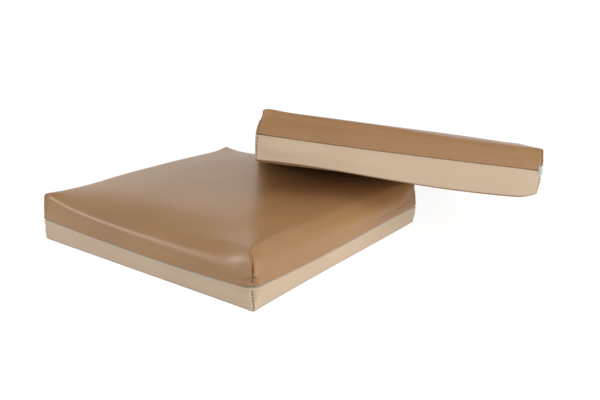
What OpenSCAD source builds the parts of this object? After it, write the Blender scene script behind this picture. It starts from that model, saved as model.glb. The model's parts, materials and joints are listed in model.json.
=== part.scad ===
// Pair of square massage cushions in two-tone vinyl covers that unzip at the waist.
// One lies flat. Its twin leans on the flat one's far edge, with one corner on the floor.
// Millimetres, +Z up. The origin is the middle of the flat cushion's underside.

/* [Cushion] */
// Width of a cushion, along its front side
cushion_w = 400; // [360:5:440]
// Depth of a cushion, from its front side to its back side
cushion_d = 400; // [360:5:440]
// Height of the waist seam above the underside, at a corner
waist_h = 32; // [30:1:38]
// Height of the top edge above the waist seam
upper_h = 33; // [31:1:40]
// Rise of the top's middle above its edges
top_crown = 9; // [4:1:14]
// Swell of an underside that hangs free
free_swell = 7; // [2:1:10]
// How far a side draws in midway between its corners
side_draw = 2.5; // [1:0.5:4]
// How far the waist seam dips midway between the corners
waist_dip = 2.5; // [0:0.5:4]
// How far the covers pinch in along the waist seam
waist_pinch = 2; // [0.5:0.5:3]
// Thickness of the vinyl
vinyl_t = 1.5; // [1:0.1:2]
// Gap between the foam and what is sewn around it
foam_gap = 0.3; // [0.2:0.1:0.5]

/* [Edges and corners] */
// Fold radius of the top edge, midway along a side
top_fold_r = 15; // [12:1:17]
// Fold radius of the top edge at an ear
ear_fold_r = 5; // [4:0.5:7]
// Fold radius of the bottom edge
foot_fold_r = 6; // [4:0.5:8]
// Rise of a corner's ear above the top edge
ear_rise = 4.5; // [1:0.5:7]
// How far the corners draw in from the waist seam to the foot
foot_taper = 3; // [1:0.5:5]
// Length of side over which a corner's shape fades out
corner_reach = 85; // [60:5:120]
// Plan radius of a corner at the waist seam
waist_corner_r = 9; // [8:0.5:12]
// Plan radius of a corner at its ear and at its foot
ear_corner_r = 5; // [4:0.5:7]

/* [Seams] */
// Gap between the two covers at the waist seam
seam_gap = 1.6; // [1:0.2:2.4]
// How far the seam tape sits back from the covers' edges
seam_set = 0.3; // [0.2:0.1:0.6]
// Gap between the seam tape and the covers
seam_fit = 0.05; // [0.02:0.01:0.1]
// Height of the lip that each cover turns beside the waist seam
lip_h = 5; // [4:0.5:6]
// Thread diameter
thread_d = 0.9; // [0.6:0.1:1.2]
// Length of a stitch
stitch_l = 3; // [2:0.2:3.6]
// Distance from stitch to stitch
stitch_pitch = 4.6; // [4.2:0.2:6]

/* [Zip] */
// Width of zip that shows between the covers
zip_gap = 16; // [14:0.5:18]
// How far the covers' edges draw in beside the zip
zip_recess = 2.5; // [2:0.1:3]
// Thickness of the zip's tapes
tape_t = 0.8; // [0.6:0.1:1]
// Width of tape sewn behind a cover
tape_lap = 5; // [4:0.5:5.5]
// Gap between a tape and the cover in front of it
tape_fit = 0.2; // [0.1:0.05:0.3]
// How far the tapes stand out at the teeth
tape_stand = 2; // [1.5:0.1:2.4]
// Gap between the two rows of teeth
row_gap = 1.2; // [1:0.1:1.6]
// Width of a row of teeth
row_w = 2.6; // [2.2:0.1:3]
// Height of the teeth
tooth_h = 1.8; // [1.4:0.1:2.2]
// Height of the cord that joins the teeth
tooth_root = 0.7; // [0.5:0.1:1]
// Length of a tooth along the zip
tooth_l = 1.5; // [1.2:0.1:1.8]
// Distance from tooth to tooth
tooth_pitch = 2.5; // [2.2:0.1:3]
// Angle by which the zip wraps the front corner
zip_wrap = 60; // [40:1:62]
// Distance from the zip's back end to the back corner
zip_margin = 6; // [4:1:12]
// Length of tape past the zip's back stops
tape_tail = 26; // [22:1:36]
// Length of a zip stop
stop_l = 3; // [2:0.5:4]

/* [Slider and pull] */
// Length of the slider
slider_l = 11; // [9:0.5:14]
// Width of the slider
slider_w = 10; // [9.4:0.2:12]
// Thickness of the slider's plates
plate_t = 1.2; // [0.8:0.1:1.4]
// Running gap between the slider and the zip
run_gap = 0.3; // [0.2:0.05:0.4]
// Thickness of the slider's post, which runs between the rows
post_t = 0.6; // [0.4:0.1:0.7]
// Length of the slider's post
post_l = 4; // [3:0.5:5]
// Width of the lug that carries the pull
lug_w = 3; // [2.4:0.2:3.4]
// Wall of the lug around the pull's pin
lug_wall = 0.8; // [0.6:0.1:1]
// Radius of the pull's pin
pin_r = 0.75; // [0.6:0.05:0.9]
// Running gap around the pin
pin_gap = 0.07; // [0.05:0.01:0.09]
// Length of the pull from its pin to its tip
pull_l = 26; // [20:1:34]
// Width of the pull
pull_w = 6; // [5.6:0.2:8]
// Thickness of the pull
pull_t = 1.2; // [1:0.1:1.4]
// Gap between the lug and the pull's fork
fork_gap = 0.3; // [0.2:0.05:0.4]
// Radius of the hole in the pull's tip
pull_hole_r = 1.2; // [0.8:0.1:1.6]

/* [Lean] */
// Turn of the leaning cushion on its slope
lean_turn = 40; // [32:0.5:44]
// Sideways place of the leaning cushion's front edge, from the middle of the flat one's far edge
lean_x = 238; // [210:1:255]
// Distance of that front edge up the slope from the flat one's far edge
lean_y = -132; // [-155:1:-100]
// Gap where the leaning cushion rests on the flat one
seat_gap = 0.4; // [0.3:0.05:0.6]
// Gap where the leaning cushion's corner meets the floor
floor_gap = 0.3; // [0.2:0.05:0.5]

/* [Hidden] */
$fn = 48;
tan_vinyl = [0.60, 0.46, 0.33];
beige_vinyl = [0.82, 0.74, 0.62];
grey_tape = [0.55, 0.56, 0.56];
brown_thread = [0.24, 0.16, 0.10];
yellow_foam = [0.93, 0.88, 0.70];
zip_steel = [0.70, 0.70, 0.70];

half_w = cushion_w / 2;
half_d = cushion_d / 2;
edge_h = waist_h + upper_h;
zip_half = zip_gap / 2;

// The mesh of a cushion: spans in a corner's arc, points along a side, fold angles and crown steps
arc_spans = 4;
side_count = 7;
ring_count = 4 * (arc_spans + 1 + side_count);
fold_end = 84;
outer_folds = [0, fold_end / 3, fold_end * 2 / 3, fold_end];
inner_folds = [0, fold_end / 2, fold_end];
outer_feet = [0, 45, 90];
inner_feet = [0, 90];
outer_steps = [0.12, 0.32, 0.58, 0.82];
inner_steps = [0.3, 0.65];
outer_swells = [0.3, 0.65];
inner_swells = [0.45];

// The cushion's corners in order: back right, back left, front left, front right
back_right = 0;
front_right = 3;

function mix(a, b, k) = a + (b - a) * k;
function fade(s) = pow(max(0, 1 - s / corner_reach), 2);
function quarter(p, c) = c == 0 ? [p.x, p.y] : c == 1 ? [-p.y, p.x] : c == 2 ? [-p.x, -p.y] : [p.y, -p.x];

// A station is one ring of a cover, given by the two profiles that it joins:
// [side inset, side height, corner inset, corner height, corner radius,
//  inset beside the zip, height beside the zip], the last two only where the zip parts the covers.
function station_point(st, xy, inset_dir, k, open) =
    let (inset = open ? st[5] : mix(st[0], st[2], k))
    let (z = open ? st[6] : mix(st[1], st[3], k))
    concat(xy - inset * inset_dir, [z]);

function corner_point(st, c, j) =
    let (a = 90 * j / arc_spans)
    let (size = c % 2 == 0 ? [half_w, half_d] : [half_d, half_w])
    let (k = fade(st[4] * abs(a - 45) * PI / 180))
    let (open = !is_undef(st[5]) && (c == front_right && j > 0 || c == back_right && j == 0))
    let (dir = [cos(a), sin(a)])
    let (p = station_point(st, size - [st[4], st[4]] + st[4] * dir, dir, k, open))
    concat(quarter(p, c), [p.z]);

function side_point(st, c, i) =
    let (f = cos(180 * i / (side_count + 1)))
    let (size = c % 2 == 0 ? [half_w, half_d] : [half_d, half_w])
    let (run = size.x - st[4])
    let (k = fade(st[4] * PI / 4 + (1 - abs(f)) * run))
    let (open = !is_undef(st[5]) && c == front_right)
    let (p = station_point(st, [f * run, size.y], [0, 1], k, open))
    concat(quarter(p, c), [p.z]);

function ring(st) = [
    for (c = [0:3]) each concat(
        [for (j = [0:arc_spans]) corner_point(st, c, j)],
        [for (i = [1:side_count]) side_point(st, c, i)])
];

// Stations of the top cover, set in by o from its outside
function top_stations(o, folds) =
    let (side_r = top_fold_r - o)
    let (ear_r = ear_fold_r - o)
    concat(
        [[side_draw + waist_pinch + o, waist_h - waist_dip + seam_gap / 2, o, waist_h + seam_gap / 2,
          waist_corner_r, zip_recess + o, waist_h + zip_half]],
        [[side_draw + o, waist_h - waist_dip + lip_h, vinyl_t + o, waist_h + lip_h,
          waist_corner_r, zip_recess + o, waist_h + zip_half + lip_h]],
        [for (a = folds) [
            side_draw + o + side_r * (1 - cos(a)), edge_h - top_fold_r + side_r * sin(a),
            o + ear_r * (1 - cos(a)), edge_h + ear_rise - ear_fold_r + ear_r * sin(a),
            o + ear_r * (1 - cos(a)) + max(ear_corner_r - o, 1)]]);

// Stations of the bottom cover, set in by o from its outside
function bottom_stations(o, feet) =
    let (foot_r = foot_fold_r - o)
    concat(
        [[side_draw + waist_pinch + o, waist_h - waist_dip - seam_gap / 2, o, waist_h - seam_gap / 2,
          waist_corner_r, zip_recess + o, waist_h - zip_half]],
        [[side_draw + o, waist_h - waist_dip - lip_h, o, waist_h - lip_h,
          waist_corner_r, zip_recess + o, waist_h - zip_half - lip_h]],
        [for (a = feet) [
            side_draw + o + foot_r * (1 - cos(a)), foot_fold_r - foot_r * sin(a),
            foot_taper + o + foot_r * (1 - cos(a)), foot_fold_r - foot_r * sin(a),
            foot_taper + o + foot_r * (1 - cos(a)) + max(ear_corner_r - o, 1)]]);

// A panel's crown: 1 in its middle, falling to 0 along its edges
function crown(p, in_w, in_d) = (1 - min(1, pow(p.x / in_w, 2))) * (1 - min(1, pow(p.y / in_d, 2)));

// Rings that close a panel towards its middle from its edge ring, at height z, by rise
function panel_rings(edge, z, rise, inset, steps) = [
    for (t = steps) [
        for (p = edge)
            let (q = [p.x, p.y] * (1 - t))
            [q.x, q.y, z + rise * crown(q, half_w - inset, half_d - inset) + (p.z - z) * pow(1 - t, 3)]
    ]
];

function top_edge_z(o) = edge_h - top_fold_r + (top_fold_r - o) * sin(fold_end);
function top_edge_inset(o) = side_draw + o + (top_fold_r - o) * (1 - cos(fold_end));
foot_inset = side_draw + foot_fold_r;

function top_rings(o, folds, steps) =
    let (walls = [for (st = top_stations(o, folds)) ring(st)])
    concat(walls, panel_rings(walls[len(walls) - 1], top_edge_z(o), top_crown, top_edge_inset(o), steps));

function bottom_rings(o, swell, feet, steps) =
    let (walls = [for (st = bottom_stations(o, feet)) ring(st)])
    concat(walls, panel_rings(walls[len(walls) - 1], o, -swell, foot_inset, steps));

function reversed(v) = [for (i = [len(v) - 1:-1:0]) v[i]];

// A closed skin over a stack of rings, from a pole below or inside to a pole above or outside.
// With down, the stack runs the other way, as the insides of the covers do.
module skin(first, rings, last, down = false) {
    n = ring_count;
    count = len(rings);
    tip = count * n + 1;
    points = concat([first], [for (r = rings) each r], [last]);
    faces = concat(
        [for (i = [0:n - 1]) [0, 1 + i, 1 + (i + 1) % n]],
        [for (r = [0:count - 2], i = [0:n - 1])
            [1 + r * n + i, 1 + (r + 1) * n + i, 1 + r * n + (i + 1) % n]],
        [for (r = [0:count - 2], i = [0:n - 1])
            [1 + r * n + (i + 1) % n, 1 + (r + 1) * n + i, 1 + (r + 1) * n + (i + 1) % n]],
        [for (i = [0:n - 1]) [tip, tip - n + (i + 1) % n, tip - n + i]]);
    polyhedron(points, down ? [for (f = faces) reversed(f)] : faces);
}

module top_cover() {
    inside = top_rings(vinyl_t, inner_folds, inner_steps);
    outside = top_rings(0, outer_folds, outer_steps);
    color(tan_vinyl)
        skin([0, 0, top_edge_z(vinyl_t) + top_crown], concat(reversed(inside), outside),
            [0, 0, top_edge_z(0) + top_crown]);
}

module bottom_cover(swell) {
    inside = bottom_rings(vinyl_t, swell, inner_feet, inner_swells);
    outside = bottom_rings(0, swell, outer_feet, outer_swells);
    color(beige_vinyl)
        skin([0, 0, -swell], concat(reversed(outside), inside), [0, 0, vinyl_t - swell]);
}

// The foam fills both covers and is relieved behind the zip
module foam_core(swell) {
    o = vinyl_t + foam_gap;
    relief = zip_recess + vinyl_t + tape_fit + tape_t + foam_gap;
    reach = zip_half + tape_lap + foam_gap;
    below = bottom_rings(o, swell, inner_feet, inner_swells);
    above = top_rings(o, inner_folds, inner_steps);
    lip_below = ring([side_draw + o, waist_h - waist_dip - lip_h, o, waist_h - lip_h,
        waist_corner_r, relief, waist_h - reach]);
    waist = ring([side_draw + waist_pinch + o + foam_gap, waist_h - waist_dip, waist_pinch + o, waist_h,
        waist_corner_r, relief, waist_h]);
    lip_above = ring([side_draw + o, waist_h - waist_dip + lip_h, vinyl_t + o, waist_h + lip_h,
        waist_corner_r, relief, waist_h + reach]);
    upper = [for (i = [len(above) - 1:-1:2]) above[i]];
    lower = [for (i = [2:len(below) - 1]) below[i]];
    color(yellow_foam)
        skin([0, 0, top_edge_z(o) + top_crown], concat(upper, [lip_above, waist, lip_below], lower),
            [0, 0, o - swell], down = true);
}

// The tape sewn into the waist seam, from the zip's back end round three sides to its front end
module waist_seam_tape() {
    tall = seam_gap / 2 - seam_fit;
    function edge(inset, z) = ring([side_draw + waist_pinch + inset, waist_h - waist_dip + z,
        inset, waist_h + z, waist_corner_r]);
    rails = [edge(seam_set, -tall), edge(seam_set, tall), edge(vinyl_t, tall), edge(vinyl_t, -tall)];
    first = 1;
    last = front_right * (arc_spans + 1 + side_count);
    spans = last - first;
    points = [for (i = [first:last], r = rails) r[i]];
    color(grey_tape)
        polyhedron(points, concat(
            [[0, 1, 2], [0, 2, 3]],
            [for (i = [0:spans - 1], j = [0:3]) [4 * i + j, 4 * (i + 1) + j, 4 * i + (j + 1) % 4]],
            [for (i = [0:spans - 1], j = [0:3])
                [4 * i + (j + 1) % 4, 4 * (i + 1) + j, 4 * (i + 1) + (j + 1) % 4]],
            [[4 * spans, 4 * spans + 2, 4 * spans + 1], [4 * spans, 4 * spans + 3, 4 * spans + 2]]));
}

// How far corner c's seam lies in from the cushion's square corner, against height
function seam_line(stations, c) = [
    for (st = stations)
        let (open = c == front_right && !is_undef(st[5]))
        [open ? st[6] : st[3], (open ? st[5] : st[2]) * cos(45) + st[4] * (1 - cos(45))]
];

// One stitch along a corner's seam, centred at height z
module stitch(line, c, z) {
    low = lookup(z - stitch_l / 2, line);
    high = lookup(z + stitch_l / 2, line);
    out = (thread_d / 2 + seam_fit) / sqrt(2) - (low + high) / 2;
    corner = quarter((c % 2 == 0 ? [half_w, half_d] : [half_d, half_w]) + [out, out], c);
    translate([corner.x, corner.y, z])
        rotate([0, 0, 90 * c + 45])
            rotate([0, atan2((low - high) * sqrt(2), stitch_l), 0])
                cylinder(d = thread_d, h = stitch_l, center = true);
}

module seam_stitches(line, c, from, to) {
    count = floor((to - from) / stitch_pitch);
    for (i = [0:count - 1])
        stitch(line, c, from + (i + 0.5) * stitch_pitch);
}

module top_corner_stitches() {
    stations = top_stations(0, outer_folds);
    color(brown_thread)
        for (c = [0:3])
            seam_stitches(seam_line(stations, c), c, waist_h + lip_h + (c == front_right ? zip_half : 0),
                edge_h + ear_rise - ear_fold_r);
}

module bottom_corner_stitches() {
    stations = reversed(bottom_stations(0, outer_feet));
    color(brown_thread)
        for (c = [0:3])
            seam_stitches(seam_line(stations, c), c, foot_fold_r,
                waist_h - lip_h - (c == front_right ? zip_half : 0));
}

// The zip lies along the right side and wraps the front corner.
// Its line is the sewn part of the tapes' outer face, and teeth and slider are set out from it.
zip_x = half_w - zip_recess - vinyl_t - tape_fit;
bend_x = half_w - waist_corner_r;
bend_y = -(half_d - waist_corner_r);
bend_r = zip_x - bend_x;
zip_back = half_d - waist_corner_r - zip_margin;
row_back = zip_back - tape_tail - stop_l;
row_half = row_gap / 2 + row_w;
row_seat = 0.05;
row_top = tape_stand + tooth_h;
row_run = row_back - bend_y;
bend_run = (bend_r + tape_stand) * zip_wrap * PI / 180;
stop_wrap = stop_l / (bend_r + tape_stand) * 180 / PI;

// A point on the zip, s along it from its back end and off out from the tapes' sewn face
function zip_point(s, off) =
    let (a = (row_run - s) / (bend_r + tape_stand) * 180 / PI)
    s < row_run ? [zip_x + off, row_back - s] : [bend_x, bend_y] + (bend_r + off) * [cos(a), sin(a)];

module tape_section() {
    polygon([
        [0, zip_half + tape_lap], [0, zip_half], [tape_stand, row_half], [tape_stand, row_gap / 2],
        [tape_stand - tape_t, row_gap / 2], [tape_stand - tape_t, row_half],
        [-tape_t, zip_half], [-tape_t, zip_half + tape_lap]]);
}

// One tape, on the top cover's side of the zip for side = 1 and on the bottom cover's for -1
module zip_tape(side) {
    color(grey_tape)
        translate([0, 0, waist_h])
            mirror([0, 0, side > 0 ? 0 : 1]) {
                translate([zip_x, zip_back, 0])
                    rotate([90, 0, 0])
                        linear_extrude(zip_back - bend_y)
                            tape_section();
                translate([bend_x, bend_y, 0])
                    rotate([0, 0, -zip_wrap])
                        rotate_extrude(angle = zip_wrap)
                            translate([bend_r, 0])
                                tape_section();
            }
}

// One row of teeth on its cord. The two rows' teeth alternate.
module zip_teeth(side) {
    shift = side > 0 ? 0 : tooth_pitch / 2;
    run = row_run + bend_run - stop_wrap * PI / 180 * (bend_r + tape_stand);
    count = floor((run - shift - tooth_l) / tooth_pitch) + 1;
    teeth = [
        for (i = [0:count - 1])
            let (s = shift + i * tooth_pitch)
            each [
                zip_point(s, tape_stand + tooth_root), zip_point(s, row_top),
                zip_point(s + tooth_l, row_top), zip_point(s + tooth_l, tape_stand + tooth_root)]
    ];
    bend_points = [for (s = [run:-tooth_pitch:row_run]) zip_point(s, tape_stand + row_seat)];
    back = [zip_point(row_run, tape_stand + row_seat), zip_point(0, tape_stand + row_seat)];
    color(grey_tape)
        translate([0, 0, waist_h + (side > 0 ? row_gap / 2 : -row_half)])
            linear_extrude(row_w)
                polygon(concat(
                    [zip_point(0, tape_stand + tooth_root)], teeth, [zip_point(run, tape_stand + tooth_root)],
                    bend_points, back));
}

module zip_top_stops() {
    color(zip_steel)
        for (side = [-1, 1])
            translate([zip_x + tape_stand, row_back, waist_h + (side > 0 ? row_gap / 2 : -row_half)])
                cube([tooth_h, stop_l, row_w]);
}

module zip_bottom_stop() {
    color(zip_steel)
        translate([bend_x, bend_y, waist_h - row_half])
            rotate([0, 0, -zip_wrap])
                rotate_extrude(angle = stop_wrap)
                    translate([bend_r + tape_stand, 0])
                        square([tooth_h, 2 * row_half]);
}

// The slider, parked at the zip's back end
slider_y = row_back - run_gap - slider_l / 2;
slider_travel = slider_y - slider_l / 2 - bend_y;
face_x = zip_x + row_top + run_gap;
lug_r = pin_r + pin_gap + lug_wall;
pin_x = face_x + plate_t + lug_r + run_gap;
flange_w = slider_w / 2 - row_half - run_gap;

module zip_slider() {
    back_x = zip_x + tape_stand - tape_t - run_gap - plate_t;
    color(zip_steel)
        translate([0, slider_y, waist_h])
            difference() {
                union() {
                    translate([face_x, -slider_l / 2, -slider_w / 2])
                        cube([plate_t, slider_l, slider_w]);
                    for (side = [-1, 1])
                        translate([zip_x + tape_stand + run_gap, -slider_l / 2,
                            side > 0 ? slider_w / 2 - flange_w : -slider_w / 2])
                            cube([tooth_h + plate_t, slider_l, flange_w]);
                    translate([back_x, -slider_l / 2, -row_half + run_gap])
                        cube([plate_t, slider_l, 2 * (row_half - run_gap)]);
                    translate([back_x, -post_l / 2, -post_t / 2])
                        cube([face_x + plate_t - back_x, post_l, post_t]);
                    translate([face_x, -lug_r, -lug_w / 2])
                        cube([pin_x - face_x, 2 * lug_r, lug_w]);
                    translate([pin_x, 0, -lug_w / 2])
                        cylinder(r = lug_r, h = lug_w);
                }
                translate([pin_x, 0, -lug_w])
                    cylinder(r = pin_r + pin_gap, h = 2 * lug_w);
            }
}

// The pull, lying back past the slider, forked round the lug with its pin through it
module zip_pull() {
    fork_r = lug_r + fork_gap;
    slot_w = lug_w + 2 * fork_gap;
    color(zip_steel)
        translate([pin_x, slider_y, waist_h]) {
            difference() {
                union() {
                    translate([-pull_t / 2, 0, -pull_w / 2])
                        cube([pull_t, pull_l - pull_w / 2, pull_w]);
                    translate([-pull_t / 2, pull_l - pull_w / 2, 0])
                        rotate([0, 90, 0])
                            cylinder(d = pull_w, h = pull_t);
                    translate([0, 0, -pull_w / 2])
                        cylinder(r = lug_r, h = pull_w);
                }
                translate([-2 * lug_r, -2 * lug_r, -slot_w / 2])
                    cube([4 * lug_r, 2 * lug_r + fork_r, slot_w]);
                translate([-pull_t, pull_l - pull_w / 2, 0])
                    rotate([0, 90, 0])
                        cylinder(r = pull_hole_r, h = 2 * pull_t);
            }
            translate([0, 0, -pull_w / 2])
                cylinder(r = pin_r, h = pull_w);
        }
}

// How the twin settles: it leans until its far corner meets the floor, and it rises and rolls
// until its underside just clears the flat cushion's right ear and far edge.
// A pose is [height of the slope at the middle of the far edge, lean, roll].
rest_points = [for (r = top_rings(0, outer_folds, outer_steps), p = r) [-p.x, -p.y, p.z]];
foot_points = [for (r = bottom_rings(0, free_swell, outer_feet, []), p = r) p];
slope_run = lean_y + half_w * sin(lean_turn) + cushion_d * cos(lean_turn);

function foot_z(p, pose) =
    let (x = lean_x + p.x * cos(lean_turn) - (p.y + half_d) * sin(lean_turn))
    let (y = lean_y + p.x * sin(lean_turn) + (p.y + half_d) * cos(lean_turn))
    pose[0] + x * sin(pose[2]) + (p.z * cos(pose[1]) - y * sin(pose[1])) * cos(pose[2]);
function lowest_foot(pose) = min([for (p = foot_points) foot_z(p, pose)]);

function on_twin(p, pose) =
    let (v = p - [0, half_d, pose[0]])
    let (up = v.z * cos(pose[2]) - v.x * sin(pose[2]))
    let (x = v.x * cos(pose[2]) + v.z * sin(pose[2]) - lean_x)
    let (y = v.y * cos(pose[1]) - up * sin(pose[1]) - lean_y)
    [x * cos(lean_turn) + y * sin(lean_turn), y * cos(lean_turn) - x * sin(lean_turn) - half_d,
        v.y * sin(pose[1]) + up * cos(pose[1])];

// The least clearance under the twin on one half of the flat cushion: side is 1 for its right half
function seat_clearance(pose, side) = min([
    for (p = rest_points)
        let (q = on_twin(p, pose))
        p.x * side < 0 || abs(q.x) > half_w || abs(q.y) > half_d ? edge_h
        : -free_swell * crown(q, half_w - foot_inset, half_d - foot_inset) - q.z
]);

function settle(pose, turns) =
    let (lean = pose[1] + (lowest_foot(pose) - floor_gap) / slope_run * 180 / PI)
    let (down = [pose[0], lean, pose[2]])
    let (left = seat_gap - seat_clearance(down, -1))
    let (right = seat_gap - seat_clearance(down, 1))
    let (roll = pose[2] + (right - left) / half_w * 180 / PI)
    turns == 0 ? pose : settle([pose[0] + left, lean, roll], turns - 1);

lean_pose = settle([edge_h + free_swell, asin(edge_h / slope_run), 0], 40);

// The flat cushion is turned half round, so its zip is on the side away from the twin's
module flat() {
    rotate([0, 0, 180])
        children();
}

module leaning() {
    translate([0, half_d, lean_pose[0]])
        rotate([0, -lean_pose[2], 0])
            rotate([-lean_pose[1], 0, 0])
                translate([lean_x, lean_y, 0])
                    rotate([0, 0, lean_turn])
                        translate([0, half_d, 0])
                            children();
}

module lower_top_cover() { flat() top_cover(); }
module lower_bottom_cover() { flat() bottom_cover(0); }
module lower_foam_core() { flat() foam_core(0); }
module lower_waist_seam_tape() { flat() waist_seam_tape(); }
module lower_top_corner_stitches() { flat() top_corner_stitches(); }
module lower_bottom_corner_stitches() { flat() bottom_corner_stitches(); }
module lower_zip_tape_top() { flat() zip_tape(1); }
module lower_zip_tape_bottom() { flat() zip_tape(-1); }
module lower_zip_teeth_top() { flat() zip_teeth(1); }
module lower_zip_teeth_bottom() { flat() zip_teeth(-1); }
module lower_zip_top_stops() { flat() zip_top_stops(); }
module lower_zip_bottom_stop() { flat() zip_bottom_stop(); }
module lower_zip_slider() { flat() zip_slider(); }
module lower_zip_pull() { flat() zip_pull(); }

module upper_top_cover() { leaning() top_cover(); }
module upper_bottom_cover() { leaning() bottom_cover(free_swell); }
module upper_foam_core() { leaning() foam_core(free_swell); }
module upper_waist_seam_tape() { leaning() waist_seam_tape(); }
module upper_top_corner_stitches() { leaning() top_corner_stitches(); }
module upper_bottom_corner_stitches() { leaning() bottom_corner_stitches(); }
module upper_zip_tape_top() { leaning() zip_tape(1); }
module upper_zip_tape_bottom() { leaning() zip_tape(-1); }
module upper_zip_teeth_top() { leaning() zip_teeth(1); }
module upper_zip_teeth_bottom() { leaning() zip_teeth(-1); }
module upper_zip_top_stops() { leaning() zip_top_stops(); }
module upper_zip_bottom_stop() { leaning() zip_bottom_stop(); }
module upper_zip_slider() { leaning() zip_slider(); }
module upper_zip_pull() { leaning() zip_pull(); }

lower_top_cover();
lower_bottom_cover();
lower_foam_core();
lower_waist_seam_tape();
lower_top_corner_stitches();
lower_bottom_corner_stitches();
lower_zip_tape_top();
lower_zip_tape_bottom();
lower_zip_teeth_top();
lower_zip_teeth_bottom();
lower_zip_top_stops();
lower_zip_bottom_stop();
lower_zip_slider();
lower_zip_pull();
upper_top_cover();
upper_bottom_cover();
upper_foam_core();
upper_waist_seam_tape();
upper_top_corner_stitches();
upper_bottom_corner_stitches();
upper_zip_tape_top();
upper_zip_tape_bottom();
upper_zip_teeth_top();
upper_zip_teeth_bottom();
upper_zip_top_stops();
upper_zip_bottom_stop();
upper_zip_slider();
upper_zip_pull();
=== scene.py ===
import json
import math

import bpy
import numpy as np
from mathutils import Matrix, Vector
from mathutils.bvhtree import BVHTree


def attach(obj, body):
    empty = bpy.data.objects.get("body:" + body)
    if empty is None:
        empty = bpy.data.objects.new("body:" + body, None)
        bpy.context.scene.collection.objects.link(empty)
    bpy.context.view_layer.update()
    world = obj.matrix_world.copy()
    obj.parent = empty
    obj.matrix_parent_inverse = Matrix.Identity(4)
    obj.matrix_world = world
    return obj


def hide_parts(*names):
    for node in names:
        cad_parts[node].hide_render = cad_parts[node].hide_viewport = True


# Two square cushions in two-tone vinyl covers: one lies flat and its twin leans on its far edge.
# Metres, in the frame of the CAD model.

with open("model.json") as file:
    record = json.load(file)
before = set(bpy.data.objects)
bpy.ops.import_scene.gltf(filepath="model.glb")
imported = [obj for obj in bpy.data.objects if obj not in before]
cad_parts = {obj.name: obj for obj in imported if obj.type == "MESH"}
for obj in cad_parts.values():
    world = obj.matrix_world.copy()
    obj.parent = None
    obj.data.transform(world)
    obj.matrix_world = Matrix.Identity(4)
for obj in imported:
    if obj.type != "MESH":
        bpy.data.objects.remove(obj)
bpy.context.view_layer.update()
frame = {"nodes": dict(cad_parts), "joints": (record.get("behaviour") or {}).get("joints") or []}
MM = 0.001

# Sizes of one cushion
HALF = 200 * MM
EDGE = 65 * MM
CORNER_R = 3.5 * MM
FOOT_FOLD = 2.0 * MM
FOOT_CORNER = 2.5 * MM
CLEAR = 0.3 * MM

# The zip: the height of its middle, half its opening, its recess, and how it draws shut at its ends
ZIP_Z = 32 * MM
ZIP_HALF = 8 * MM
ZIP_RECESS = 2.5 * MM
ZIP_FADE = 12 * MM
ZIP_BACK_GAP = 3 * MM
ZIP_FRONT_GAP = 2 * MM
ZIP_LEAD_STEPS = 2

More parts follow.
